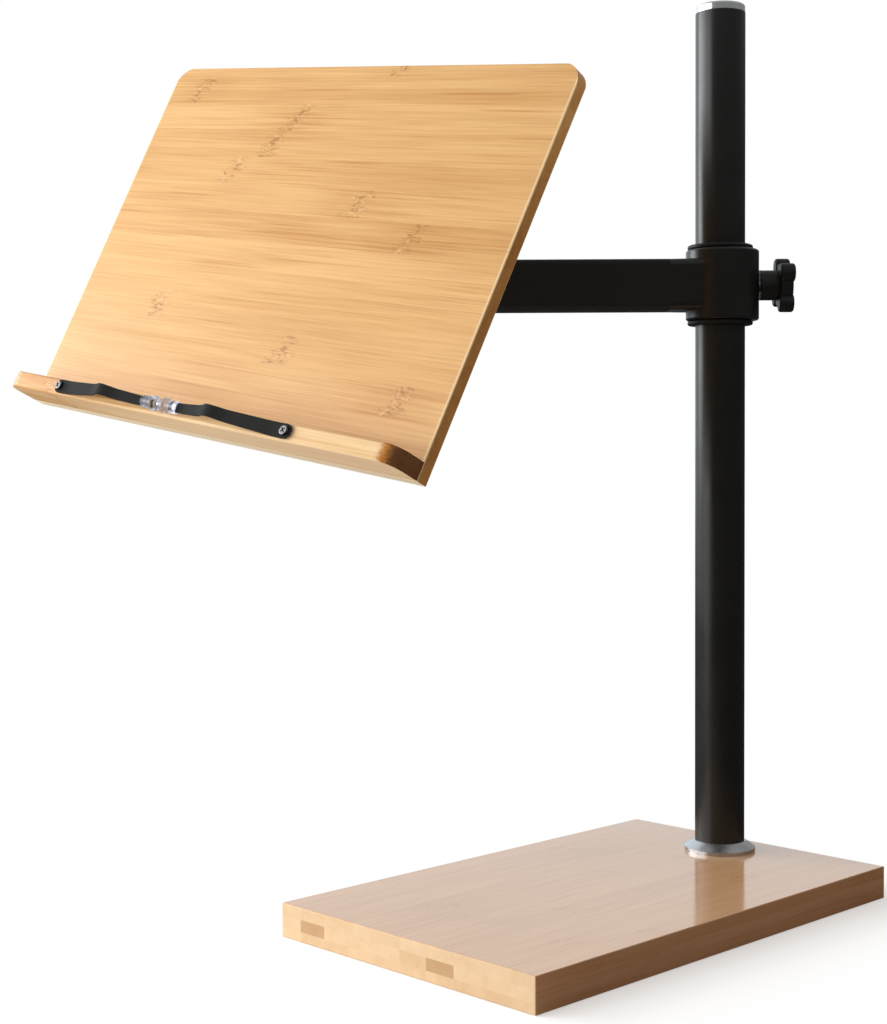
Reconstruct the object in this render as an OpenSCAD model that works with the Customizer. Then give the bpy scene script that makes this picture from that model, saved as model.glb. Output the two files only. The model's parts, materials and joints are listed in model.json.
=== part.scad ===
// Book stand: a bamboo reading board on a swinging arm, clamped to a pole on a bamboo base.
// The origin is the middle of the underside of the base, +Z is up and the reader sits at -Y.

/* [Base] */
// Width of the base, left to right
base_w = 200; // [160:1:260]
// Depth of the base, front to back
base_d = 322; // [260:1:400]
// Thickness of the base
base_t = 20; // [18:0.5:30]
// Rounding of the edges of the base
base_edge_r = 0.8; // [0.4:0.1:2]
// Diameter of the counterbore under the pole
counterbore_d = 24; // [23:0.5:40]
// Depth of the counterbore under the pole
counterbore_depth = 11; // [10.5:0.5:14]

/* [Pole] */
// Outside diameter of the pole
pole_d = 32; // [28:0.5:34]
// Wall of the pole
pole_wall = 1.5; // [1:0.1:2.5]
// Length of the pole's tube
pole_l = 536; // [450:1:700]
// Distance of the pole's axis from the rear edge of the base
pole_from_rear = 34; // [24:0.5:60]
// Distance of the pole's axis to the right of the base's middle line
pole_right = -2; // [-20:0.5:20]
// Diameter of the chrome flange at the foot
flange_d = 46; // [42:0.5:47]
// Height of the upright rim of the flange
flange_rim_h = 2.4; // [1.5:0.1:4]
// Height of the whole flange
flange_h = 6.6; // [5:0.1:10]
// Height of the chrome cap that shows
cap_h = 5; // [3:0.1:10]
// Length of the cap's plug in the tube
cap_plug_l = 12; // [8:0.5:25]
// Length of the threaded plug in the foot of the tube
foot_plug_l = 32; // [25:0.5:60]
// Thread diameter of the bolt that holds the pole
pole_bolt_d = 10; // [8:0.5:12]

/* [Collar] */
// Height of the arm's middle above the table
collar_z = 388; // [250:1:450]
// Outside diameter of the collar
collar_d = 47; // [44:0.5:56]
// Height of the collar
collar_h = 45.4; // [42:0.2:60]
// How far the collar's outside is set towards the clamp knob, where its thread needs a thicker wall
collar_offset = 1.4; // [0:0.1:1.6]
// Rounding of the collar's rims
collar_edge_r = 1.6; // [0.5:0.1:2.4]
// Diameter of the bushes' lips
bush_lip_d = 42; // [38:0.5:43]
// Height of the bushes' lips
bush_lip_h = 3; // [2:0.1:8]
// Rounding of the bushes' lips
bush_edge_r = 1.3; // [0.4:0.1:1.4]
// Length of a bush inside the collar
bush_l = 13; // [8:0.5:15]
// Wall of the bushes
bush_wall = 2; // [1.6:0.1:2.5]

/* [Arm] */
// Width of the arm's tube
arm_w = 30; // [26:0.5:34]
// Height of the arm's tube
arm_h = 32.5; // [30:0.5:38]
// Wall of the arm's tube
arm_wall = 2; // [1.5:0.1:3]
// Outside corner radius of the arm's tube
arm_corner_r = 4; // [3.2:0.1:6]
// Distance from the pole's axis to the head's upright pivot
arm_reach = 231; // [180:1:300]
// Distance from the pole's axis to the root of the tube
neck_reach = 34; // [31:0.5:45]
// How far the collar's neck flares past the tube on each side
neck_flare = 4; // [1:0.5:5]
// Length of the plugs that fit in the tube's two ends
arm_plug_l = 20; // [12:0.5:40]

/* [Clamp knob] */
// Diameter over the lobes of the clamp knob
knob_d = 39.6; // [34:0.2:44]
// Thickness of the clamp knob's head
knob_t = 9.5; // [8:0.5:14]
// Diameter of the clamp knob's hub
knob_hub_d = 19.4; // [16:0.2:22]
// Length of the hub below the head
knob_hub_l = 11; // [8:0.5:14]
// Radius of the clamp knob's lobes
knob_lobe_r = 6; // [5:0.1:7]
// Rounding of the star knobs' edges
knob_edge_r = 1.6; // [0.5:0.1:2]
// Depth of the dish in the star knobs' faces
knob_dish = 2.4; // [1:0.1:2.8]
// Number of lobes on the star knobs
knob_lobes = 4; // [4:1:6]
// Angle from upright to a lobe of the clamp knob, towards the reader
knob_turn = 60; // [0:1:90]
// Thread diameter of the clamp stud
stud_d = 8; // [6:0.5:9]
// Thickness of the pad between the stud and the pole
clamp_pad_t = 1.6; // [1:0.1:1.8]

/* [Head] */
// Radius of the lug at the end of the arm
lug_r = 14; // [12:0.5:16]
// Height of the lug at the end of the arm
lug_h = 16; // [12:0.5:20]
// Thickness of the fork's cheeks above and below the lug
cheek_t = 5; // [4:0.5:8]
// Thickness of the web between the cheeks and the ears
web_t = 3; // [2.5:0.5:6]
// Radius of the fork's ears round the tilt pivot
ear_r = 11; // [10:0.5:13]
// Thickness of the fork's ears
ear_t = 5; // [4:0.5:8]
// Radius of the tilting knuckle
knuckle_r = 9; // [8:0.5:11]
// Width of the tilting knuckle
knuckle_w = 14.6; // [12:0.2:20]
// Diameter of the head's pivot bolts
pivot_d = 8; // [6:0.5:8]
// Thickness of the washers in the head
head_washer_t = 1; // [0.6:0.1:2]
// Length of the cone from the ears to the turntable
turntable_neck_l = 19.5; // [14:0.5:40]
// Diameter of that cone where it meets the turntable
cone_d = 32; // [24:0.5:36]
// Diameter of the turntable
turntable_d = 44; // [38:0.5:56]
// Thickness of the turntable
turntable_t = 6; // [4:0.5:10]
// Side of the square plate on the back of the board
plate_w = 80; // [70:1:110]
// Thickness of that plate
plate_t = 3; // [2.8:0.1:5]
// Corner radius of that plate
plate_corner_r = 8; // [3:0.5:14]
// Distance between the plate's screws
plate_pitch = 60; // [52:1:64]
// Diameter over the lobes of the tilt knob
tilt_knob_d = 30; // [26:0.5:36]
// Thickness of the tilt knob's head
tilt_knob_t = 10; // [8:0.5:14]
// Radius of the tilt knob's lobes
tilt_lobe_r = 4.5; // [3.8:0.1:6]

/* [Reading board] */
// Width of the reading board
board_w = 362; // [300:1:420]
// Height of the reading board
board_h = 256; // [200:1:320]
// Thickness of the reading board
board_t = 8.5; // [8:0.1:14]
// Radius of the board's upper corners
board_corner_r = 15; // [4:0.5:25]
// Rounding of the board's edges
board_edge_r = 0.8; // [0.4:0.1:2]

/* [Ledge] */
// How far the ledge stands out in front of the board
ledge_depth = 25; // [18:0.5:40]
// Height of the ledge
ledge_h = 11; // [10:0.1:18]
// Radius of the ledge's front corners
ledge_corner_r = 12; // [5:0.5:16]
// Rounding of the ledge's long edges
ledge_edge_r = 1.4; // [0.5:0.1:3]
// Distance from the board's middle to the outer ledge screws
ledge_screw_reach = 130; // [60:1:140]

/* [Page clips] */
// Width of a clip at its screw
clip_w = 9; // [8:0.2:10]
// Width of a clip at its tip
clip_tip_w = 6; // [5:0.2:7]
// Thickness of a clip
clip_t = 1; // [0.6:0.1:1.4]
// Length of a clip from its screw to the end of the strip
clip_l = 93; // [80:1:115]
// Distance from a clip's screw to its crest
clip_crest = 57; // [50:1:60]
// Height of the crest over the screw end
clip_lift = 13; // [10:0.2:16]
// Height of the strip on both sides of the crest
clip_shoulder = 7; // [5:0.2:9]
// Distance from the crest to each of its feet
crest_foot = 11; // [10:0.5:13]
// How far from a corner of the clips' line its bend starts
clip_bend = 5; // [2:0.5:5]
// Gap between the two clips' caps
tips_gap = 1.8; // [1:0.1:10]
// Place of the middle of that gap, to the right of the board's middle
tips_mid = -11; // [-20:0.5:20]
// Diameter of the bead on the clear caps
tip_d = 9.4; // [8.6:0.2:9.6]
// Length of the bead
tip_bead_l = 4.6; // [3:0.2:6]
// Diameter of the caps' neck
tip_neck_d = 7.6; // [6.4:0.2:8.4]
// Length of the caps' neck
tip_neck_l = 8; // [7.6:0.2:10]
// Diameter of the caps' end
tip_nib_d = 6.6; // [5:0.2:8]
// Length of the clear caps
tip_l = 15; // [14.8:0.2:18]
// Diameter of the clip screws' shanks
clip_screw_d = 3; // [2:0.1:4]

/* [Pose] */
// Angle of the arm from straight ahead, towards the reader's left
arm_swing = 44.6; // [-60:0.1:60]
// Angle of the head from the arm's line, back towards the reader
head_swing = 50.9; // [0:0.1:80]
// Lean of the board from upright
board_tilt = 23.1; // [0:0.1:60]
// Turn of the board in its own plane, anticlockwise for the reader
board_turn = -9.1; // [-45:0.1:45]

/* [Fits] */
// Clearance on the radius of what turns or slides on a pin
running_gap = 0.05; // [0.02:0.01:0.08]
// Clearance between flat faces that move on each other
face_gap = 0.1; // [0.05:0.05:0.3]
// Clearance on each side of what is pushed into a tube
plug_gap = 0.1; // [0.05:0.05:0.2]

/* [Hidden] */
$fn = 64;
// Overlap that lets a cut pass clean through a face
cut = 1;
// Thin slice that a blended shape starts from
slice = 0.1;
// Room round a screw in its hole, and what a washer leaves free at the rim of its seat
screw_gap = 0.1;
washer_inset = 1;

// Pole
pole_y = base_d / 2 - pole_from_rear;
pole_r = pole_d / 2;
pole_z = base_t + flange_h;
tube_bore_r = pole_r - pole_wall;
pole_bolt_r = pole_bolt_d / 2;
pole_washer_t = 2;
pole_head_h = 8;
pole_head_r = 8;
hex_key_r = 4.6;
thread_depth_left = 6;
flange_top_rim = 0.6;
cap_edge_r = 1.2;
cap_inset = 0.2;

// Collar
bush_bore_r = pole_r + running_gap;
bush_r = bush_bore_r + bush_wall;
collar_bore_r = bush_r + running_gap;
collar_r = collar_d / 2;
stud_r = stud_d / 2;
stud_bore_r = stud_r + running_gap;
pad_inner = pole_r + face_gap;
pad_outer = pad_inner + clamp_pad_t;
pad_inset = 0.2;
hub_gap = 0.6;
hub_start = collar_offset + collar_r + hub_gap;
stud_in_knob = knob_hub_l + knob_t / 2;
knob_core_inset = 0.7;
knob_dish_rim = 4;

// Arm, whose flare starts just inside the collar's wall
flare_w = arm_w + 2 * neck_flare;
flare_inset = 0.5;
flare_x = sqrt(max(0, pow(collar_r - flare_inset, 2) - pow(flare_w / 2, 2))) - collar_offset;
lug_neck_l = 10;
arm_end = arm_reach - lug_r - lug_neck_l;
end_plate_t = 3;
plug_w = arm_w - 2 * arm_wall - 2 * plug_gap;
plug_h = arm_h - 2 * arm_wall - 2 * plug_gap;
plug_corner_r = max(0.5, arm_corner_r - arm_wall);

// Head: the upright pivot
pivot_r = pivot_d / 2;
pivot_bore_r = pivot_r + running_gap;
hex_rim = 3.5;
hex_r = pivot_r + hex_rim;
hex_h = 5.4;
thread_end = 1;
cheek_z = lug_h / 2 + head_washer_t + face_gap;
cheek_top = cheek_z + cheek_t;
lug_room = 1.5;
web_x = lug_r + lug_room;

// Head: the tilt pivot
knuckle_gap = 0.5;
tilt_x = web_x + web_t + knuckle_r + knuckle_gap;
ear_y = knuckle_w / 2 + face_gap;
ear_outer = ear_y + ear_t;
tilt_hub_l = 5;
tilt_hub_r = 8;
tilt_knob_turn = 45;
tilt_knob_start = ear_outer + head_washer_t + face_gap;
tilt_bolt_in_knob = tilt_hub_l + tilt_knob_t / 2;
tilt_bolt_room = 1;

// Head: the turntable and the board's plate, counted from the tilt pivot along the board's normal
neck_start = ear_r + knuckle_gap;
turntable_back = neck_start + turntable_neck_l;
turntable_front = turntable_back + turntable_t;
turntable_washer_front = turntable_front + head_washer_t;
plate_back = turntable_washer_front + face_gap;
board_back = plate_back + plate_t;
board_front = board_back + board_t;
turntable_edge_r = 1;
turntable_head_rim = 4;
turntable_head_r = pivot_r + turntable_head_rim;
turntable_head_h = 3;
turntable_key_r = 2.8;
turntable_screw_l = 22;
head_room = 0.4;
plate_screw_r = 1.8;
plate_screw_head_r = 3.8;
plate_screw_head_h = 2;
board_skin = 3;
plate_screw_l = plate_t + board_t - board_skin;

// Ledge
ledge_front = board_front + ledge_depth;
ledge_low = -board_h / 2;
ledge_mid = ledge_low + ledge_h / 2;
ledge_screw_r = 2;
ledge_screw_head_r = 4;
ledge_screw_head_h = 2.4;
clip_screw_depth = 12;
screw_ends_gap = 2;
ledge_screw_l = board_t + ledge_depth - clip_screw_depth - screw_ends_gap;

// Clips, placed from the gap between their caps
clip_reach = tips_gap / 2 + tip_l + plug_gap + clip_l;
left_clip_y = tips_mid - clip_reach;
right_clip_y = tips_mid + clip_reach;
bend_steps = 6;
clip_washer_t = 0.8;
clip_washer_inset = 0.6;
clip_washer_r = clip_w / 2 - clip_washer_inset;
clip_screw_r = clip_screw_d / 2;
clip_head_rim = 1.5;
clip_head_r = clip_screw_r + clip_head_rim;
clip_head_h = 1.8;
clip_head_edge_r = 0.55;
recess_l = 3.6;
recess_w = 0.8;
recess_depth = 0.9;
clip_back = clip_washer_t + face_gap;
clip_head_z = clip_back + clip_t + face_gap;
clip_flat_l = 9;
tip_grip = 6;
tip_room = 0.4;
tip_rest = tip_d / 2 + tip_room;
tip_edge_r = 0.8;
tip_bead_r = 2;
tip_dimple_r = 1.7;
tip_dimple_depth = 1.2;
tongue_step = 0.8;
tongue_w = clip_tip_w - 2 * tongue_step;

bamboo = "burlywood";
black = [0.09, 0.09, 0.09];
chrome = [0.8, 0.81, 0.83];
steel = [0.62, 0.63, 0.65];
nylon = [0.85, 0.84, 0.8];
clear = [0.8, 0.84, 0.88];

// Places: each one draws its children in a piece's own frame

module at_pole(z = 0) {
    translate([pole_right, pole_y, z]) children();
}

// X runs out along the arm from the pole's axis, at the arm's mid height
module at_arm() {
    at_pole(collar_z) rotate([0, 0, -90 - arm_swing]) children();
}

// The upright pivot, with X towards the reader
module at_swivel() {
    at_arm() translate([arm_reach, 0, 0]) rotate([0, 0, head_swing]) children();
}

// The tilt pivot, with X along the board's normal
module at_tilt() {
    at_swivel() translate([tilt_x, 0, 0]) rotate([0, -board_tilt, 0]) children();
}

// The board, with X along its normal, Y to the reader's right and Z up the board
module at_board() {
    at_tilt() rotate([board_turn, 0, 0]) children();
}

// A page clip at its screw, with X out of the ledge, Y towards the tip and Z up the board
module at_clip(y) {
    at_board() translate([ledge_front, y, ledge_mid]) mirror([0, y > 0 ? 1 : 0, 0]) children();
}

// Shapes

module along_x() {
    rotate([90, 0, 90]) children();
}

module along_y() {
    rotate([-90, 0, 0]) children();
}

module ring(r, bore, h) {
    difference() {
        cylinder(r = r, h = h);
        translate([0, 0, -cut]) cylinder(r = bore, h = h + 2 * cut);
    }
}

// Rectangle of w by h about the origin, with rounded corners
module rounded_rect(w, h, r) {
    square([w - 2 * r, h], center = true);
    square([w, h - 2 * r], center = true);
    for (x = [-1, 1], y = [-1, 1]) translate([x * (w / 2 - r), y * (h / 2 - r)]) circle(r);
}

// Half of a disc's section, with its outer corners rounded, to be revolved
module disc_section(r, h, edge_r) {
    square([r - edge_r, h]);
    translate([0, edge_r]) square([r, h - 2 * edge_r]);
    for (y = [edge_r, h - edge_r]) translate([r - edge_r, y]) circle(edge_r);
}

module rounded_disc(r, h, edge_r) {
    rotate_extrude() intersection() {
        disc_section(r, h, edge_r);
        square([r, h]);
    }
}

// Plate standing on the YZ plane, t thick along X, with every edge rounded and its upper corners round
module slab(w, h, t, edge_r, corner_r) {
    intersection() {
        translate([t / 2, 0, 0]) linear_extrude(height = h, center = true) rounded_rect(t, w, edge_r);
        translate([t / 2, 0, 0]) along_y() linear_extrude(height = w, center = true)
            rounded_rect(t, h, edge_r);
        along_x() linear_extrude(height = t) union() {
            translate([0, -corner_r / 2]) square([w, h - corner_r], center = true);
            square([w - 2 * corner_r, h], center = true);
            for (y = [-1, 1]) translate([y * (w / 2 - corner_r), h / 2 - corner_r]) circle(corner_r);
        }
    }
}

// Screw along +X with a countersunk head whose flat lies at X = 0
module sunk_screw(r, head_r, head_h, l) {
    along_x() {
        cylinder(r1 = head_r, r2 = r, h = head_h);
        cylinder(r = r, h = l);
    }
}

// Hole for that screw, with room all round it
module sunk_hole(r, head_r, head_h, l) {
    lip = cut * (head_r - r) / head_h;
    along_x() translate([0, 0, -cut]) {
        cylinder(r1 = head_r + screw_gap + lip, r2 = r + screw_gap, h = head_h + cut);
        cylinder(r = r + screw_gap, h = l + cut);
    }
}

// Star knob along +Z: a hub below a dished head of round lobes, with a blind hole for its stud
module star_knob(d, t, lobe_r, hub_d, hub_l, bore_r, bore_l, turn) {
    core_r = d / 2 - lobe_r;
    difference() {
        union() {
            cylinder(r = hub_d / 2, h = hub_l + t / 2);
            translate([0, 0, hub_l]) {
                translate([0, 0, knob_core_inset])
                    rounded_disc(core_r, t - 2 * knob_core_inset, knob_edge_r - knob_core_inset / 2);
                for (i = [0:knob_lobes - 1]) rotate([0, 0, turn + i * 360 / knob_lobes])
                    translate([core_r, 0, 0]) rounded_disc(lobe_r, t, knob_edge_r);
            }
        }
        translate([0, 0, -cut]) cylinder(r = bore_r, h = bore_l + cut);
        translate([0, 0, hub_l + t - knob_dish]) cylinder(r = core_r - knob_dish_rim, h = knob_dish + cut);
    }
}

module hex_bolt(r, head_r, head_h, l) {
    cylinder(r = head_r, h = head_h, $fn = 6);
    translate([0, 0, -l]) cylinder(r = r, h = l);
}

// Base and pole

module base_board() {
    color(bamboo) difference() {
        intersection() {
            linear_extrude(height = base_t) rounded_rect(base_w, base_d, base_edge_r);
            translate([0, 0, base_t / 2]) along_x()
                linear_extrude(height = base_w, center = true) rounded_rect(base_d, base_t, base_edge_r);
            translate([0, 0, base_t / 2]) rotate([90, 0, 0])
                linear_extrude(height = base_d, center = true) rounded_rect(base_w, base_t, base_edge_r);
        }
        at_pole(-cut) cylinder(r = pole_bolt_r + screw_gap, h = base_t + 2 * cut);
        at_pole(-cut) cylinder(r = counterbore_d / 2, h = counterbore_depth + cut);
    }
}

module foot_flange() {
    color(chrome) at_pole(base_t) rotate_extrude() polygon([
        [pole_bolt_r + screw_gap, 0],
        [flange_d / 2, 0],
        [flange_d / 2, flange_rim_h],
        [pole_r + flange_top_rim, flange_h],
        [pole_bolt_r + screw_gap, flange_h]
    ]);
}

module pole_tube() {
    color(black) at_pole(pole_z) ring(pole_r, tube_bore_r, pole_l);
}

module pole_cap() {
    color(chrome) at_pole(pole_z + pole_l) {
        difference() {
            translate([0, 0, -cap_edge_r]) rounded_disc(pole_r - cap_inset, cap_h + cap_edge_r, cap_edge_r);
            translate([0, 0, -cap_h]) cylinder(r = pole_d, h = cap_h);
        }
        translate([0, 0, -cap_plug_l]) cylinder(r = tube_bore_r - plug_gap, h = cap_plug_l);
    }
}

module pole_plug() {
    color(steel) at_pole(pole_z) ring(tube_bore_r - plug_gap, pole_bolt_r + running_gap, foot_plug_l);
}

module pole_bolt() {
    shank_l = base_t - counterbore_depth + pole_washer_t + flange_h + foot_plug_l - thread_depth_left;
    color(steel) at_pole(counterbore_depth - pole_washer_t) difference() {
        union() {
            translate([0, 0, -pole_head_h]) cylinder(r = pole_head_r, h = pole_head_h);
            cylinder(r = pole_bolt_r, h = shank_l);
        }
        translate([0, 0, -pole_head_h - cut]) cylinder(r = hex_key_r, h = pole_head_h / 2 + cut, $fn = 6);
    }
}

module pole_washer() {
    color(steel) at_pole(counterbore_depth - pole_washer_t)
        ring(counterbore_d / 2 - washer_inset, pole_bolt_r + screw_gap, pole_washer_t);
}

// Collar, bushes and arm

module bush() {
    difference() {
        union() {
            translate([0, 0, -bush_l]) cylinder(r = bush_r, h = bush_l + cut);
            rounded_disc(bush_lip_d / 2, bush_lip_h, bush_edge_r);
        }
        translate([0, 0, -bush_l - cut]) cylinder(r = bush_bore_r, h = bush_l + bush_lip_h + 2 * cut);
    }
}

module upper_bush() {
    color(black) at_pole(collar_z + collar_h / 2 + face_gap) bush();
}

module lower_bush() {
    color(black) at_pole(collar_z - collar_h / 2 - face_gap) mirror([0, 0, 1]) bush();
}

module collar() {
    color(black) at_arm() difference() {
        union() {
            translate([-collar_offset, 0, -collar_h / 2]) rounded_disc(collar_r, collar_h, collar_edge_r);
            hull() {
                translate([flare_x, 0, 0]) along_x() linear_extrude(height = slice)
                    rounded_rect(flare_w, arm_h, arm_corner_r, $fn = 32);
                translate([neck_reach - slice, 0, 0]) along_x() linear_extrude(height = slice)
                    rounded_rect(arm_w, arm_h, arm_corner_r, $fn = 32);
            }
            translate([neck_reach - cut, 0, 0]) along_x() linear_extrude(height = arm_plug_l + cut)
                rounded_rect(plug_w, plug_h, plug_corner_r);
        }
        translate([0, 0, -collar_h]) cylinder(r = collar_bore_r, h = 2 * collar_h);
        rotate([0, -90, 0]) cylinder(r = stud_bore_r, h = collar_offset + collar_r + cut);
    }
}

module arm_tube() {
    color(black) at_arm() translate([neck_reach, 0, 0]) along_x()
        linear_extrude(height = arm_end - neck_reach) difference() {
            rounded_rect(arm_w, arm_h, arm_corner_r);
            rounded_rect(arm_w - 2 * arm_wall, arm_h - 2 * arm_wall, plug_corner_r);
        }
}

module arm_end_block() {
    color(black) at_arm() difference() {
        union() {
            translate([arm_end - arm_plug_l, 0, 0]) along_x() linear_extrude(height = arm_plug_l + cut)
                rounded_rect(plug_w, plug_h, plug_corner_r);
            translate([arm_end, 0, 0]) along_x() linear_extrude(height = end_plate_t)
                rounded_rect(arm_w, arm_h, arm_corner_r);
            linear_extrude(height = lug_h, center = true) polygon([
                [arm_end, -arm_w / 2],
                [arm_reach, -lug_r],
                [arm_reach, lug_r],
                [arm_end, arm_w / 2]
            ]);
            translate([arm_reach, 0, -lug_h / 2]) cylinder(r = lug_r, h = lug_h);
        }
        translate([arm_reach, 0, -lug_h]) cylinder(r = pivot_bore_r, h = 2 * lug_h);
    }
}

// Clamp knob, which points away from the arm

module at_clamp(x) {
    at_arm() translate([-x, 0, 0]) rotate([0, -90, 0]) children();
}

module clamp_knob() {
    color(black) at_clamp(hub_start)
        star_knob(knob_d, knob_t, knob_lobe_r, knob_hub_d, knob_hub_l, stud_bore_r, stud_in_knob, knob_turn);
}

module clamp_stud() {
    color(steel) at_clamp(pad_outer) cylinder(r = stud_r, h = hub_start - pad_outer + stud_in_knob);
}

module clamp_pad() {
    color("goldenrod") at_clamp(pad_inner) cylinder(r = stud_r - pad_inset, h = clamp_pad_t);
}

// Head at the end of the arm

module swivel_fork() {
    color(black) at_swivel() difference() {
        union() {
            for (z = [cheek_z, -cheek_top]) translate([0, 0, z]) linear_extrude(height = cheek_t) {
                circle(lug_r);
                translate([0, -lug_r]) square([web_x + web_t, 2 * lug_r]);
            }
            translate([web_x, -lug_r, -cheek_top]) cube([web_t, 2 * lug_r, 2 * cheek_top]);
            for (y = [ear_y, -ear_outer]) translate([0, y + ear_t, 0]) rotate([90, 0, 0])
                linear_extrude(height = ear_t) {
                    translate([tilt_x, 0]) circle(ear_r);
                    translate([web_x, -ear_r]) square([tilt_x - web_x, 2 * ear_r]);
                }
        }
        translate([0, 0, -cheek_top - cut]) cylinder(r = pivot_bore_r, h = 2 * cheek_top + 2 * cut);
        translate([tilt_x, -ear_outer - cut, 0]) along_y()
            cylinder(r = pivot_bore_r, h = 2 * ear_outer + 2 * cut);
    }
}

module swivel_bolt() {
    color(steel) at_swivel() translate([0, 0, cheek_top + face_gap])
        hex_bolt(pivot_r, hex_r, hex_h, 2 * (cheek_top + face_gap) + hex_h + thread_end);
}

module swivel_nut() {
    color(steel) at_swivel() translate([0, 0, -cheek_top - face_gap - hex_h]) difference() {
        cylinder(r = hex_r, h = hex_h, $fn = 6);
        translate([0, 0, -cut]) cylinder(r = pivot_bore_r, h = hex_h + 2 * cut);
    }
}

module swivel_washers() {
    color(nylon) at_swivel() for (z = [lug_h / 2, -lug_h / 2 - head_washer_t]) translate([0, 0, z])
        ring(lug_r - washer_inset, pivot_bore_r, head_washer_t);
}

module tilt_block() {
    color(black) at_tilt() difference() {
        union() {
            translate([0, -knuckle_w / 2, 0]) along_y() cylinder(r = knuckle_r, h = knuckle_w);
            translate([0, -knuckle_w / 2, -knuckle_r]) cube([neck_start + cut, knuckle_w, 2 * knuckle_r]);
            translate([neck_start, 0, 0]) along_x()
                cylinder(r1 = knuckle_r, r2 = cone_d / 2, h = turntable_neck_l);
            translate([turntable_back, 0, 0]) along_x()
                rounded_disc(turntable_d / 2, turntable_t, turntable_edge_r);
        }
        translate([0, -knuckle_w, 0]) along_y() cylinder(r = pivot_bore_r, h = 2 * knuckle_w);
        translate([board_back - turntable_screw_l - cut, 0, 0]) along_x()
            cylinder(r = pivot_bore_r, h = turntable_screw_l + cut);
    }
}

// Pivot axis of the tilt, with Z along -Y of the head
module at_tilt_axis() {
    at_swivel() translate([tilt_x, 0, 0]) rotate([90, 0, 0]) children();
}

module tilt_bolt() {
    bolt_l = 2 * ear_outer + 2 * head_washer_t + face_gap + tilt_bolt_in_knob;
    color(steel) at_tilt_axis() mirror([0, 0, 1]) translate([0, 0, ear_outer + head_washer_t])
        hex_bolt(pivot_r, hex_r, hex_h, bolt_l);
}

module tilt_washers() {
    color(steel) at_tilt_axis() for (z = [ear_outer, -ear_outer - head_washer_t]) translate([0, 0, z])
        ring(knuckle_r, pivot_bore_r, head_washer_t);
}

module tilt_knob() {
    color(black) at_tilt_axis() translate([0, 0, tilt_knob_start])
        star_knob(tilt_knob_d, tilt_knob_t, tilt_lobe_r, 2 * tilt_hub_r, tilt_hub_l, pivot_bore_r,
                  tilt_bolt_in_knob + tilt_bolt_room, tilt_knob_turn);
}

module turntable_screw() {
    color(steel) at_tilt() translate([board_back + face_gap, 0, 0]) along_x() difference() {
        union() {
            cylinder(r = turntable_head_r, h = turntable_head_h);
            translate([0, 0, -turntable_screw_l]) cylinder(r = pivot_r, h = turntable_screw_l);
        }
        translate([0, 0, turntable_head_h / 2]) cylinder(r = turntable_key_r, h = turntable_head_h, $fn = 6);
    }
}

module turntable_washer() {
    color(nylon) at_tilt() translate([turntable_front, 0, 0]) along_x()
        ring(turntable_d / 2 - washer_inset, pivot_bore_r, head_washer_t);
}

// Places of the four screws of the board's plate
module at_plate_screws() {
    for (y = [-1, 1], z = [-1, 1])
        translate([plate_back, y * plate_pitch / 2, z * plate_pitch / 2]) children();
}

module board_plate() {
    color(black) at_board() difference() {
        translate([plate_back, 0, 0]) along_x() linear_extrude(height = plate_t)
            rounded_rect(plate_w, plate_w, plate_corner_r);
        translate([plate_back - cut, 0, 0]) along_x() cylinder(r = pivot_bore_r, h = plate_t + 2 * cut);
        at_plate_screws() sunk_hole(plate_screw_r, plate_screw_head_r, plate_screw_head_h, plate_t + cut);
    }
}

module plate_screws() {
    color(steel) at_board() at_plate_screws()
        sunk_screw(plate_screw_r, plate_screw_head_r, plate_screw_head_h, plate_screw_l);
}

// Board, ledge and their screws

// Places of the three screws that hold the ledge from behind
module at_ledge_screws() {
    for (y = [-1, 0, 1]) translate([board_back, y * ledge_screw_reach, ledge_mid]) children();
}

module reading_board() {
    color(bamboo) at_board() difference() {
        translate([board_back, 0, 0]) slab(board_w, board_h, board_t, board_edge_r, board_corner_r);
        translate([board_back - cut, 0, 0]) along_x()
            cylinder(r = turntable_head_r + head_room, h = turntable_head_h + face_gap + head_room + cut);
        at_plate_screws() along_x() cylinder(r = plate_screw_r + screw_gap, h = plate_screw_l + screw_gap);
        at_ledge_screws() sunk_hole(ledge_screw_r, ledge_screw_head_r, ledge_screw_head_h, board_t + cut);
    }
}

module ledge() {
    color(bamboo) at_board() difference() {
        intersection() {
            translate([board_front, 0, ledge_low]) linear_extrude(height = ledge_h) {
                translate([0, ledge_corner_r - board_w / 2])
                    square([ledge_depth, board_w - 2 * ledge_corner_r]);
                translate([0, -board_w / 2]) square([ledge_depth - ledge_corner_r, board_w]);
                for (y = [-1, 1])
                    translate([ledge_depth - ledge_corner_r, y * (board_w / 2 - ledge_corner_r)])
                        circle(ledge_corner_r);
            }
            translate([board_front + ledge_depth / 2, 0, ledge_mid]) along_y()
                linear_extrude(height = board_w, center = true) {
                    rounded_rect(ledge_depth, ledge_h, ledge_edge_r);
                    translate([-ledge_depth / 4, 0]) square([ledge_depth / 2, ledge_h], center = true);
                }
        }
        at_ledge_screws() along_x() cylinder(r = ledge_screw_r + screw_gap, h = ledge_screw_l + screw_gap);
        for (y = [left_clip_y, right_clip_y])
            translate([ledge_front - clip_screw_depth - screw_gap, y, ledge_mid]) along_x()
                cylinder(r = clip_screw_r + screw_gap, h = clip_screw_depth + cut);
    }
}

module ledge_screws() {
    color(steel) at_board() at_ledge_screws()
        sunk_screw(ledge_screw_r, ledge_screw_head_r, ledge_screw_head_h, ledge_screw_l);
}

// Page clips

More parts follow.
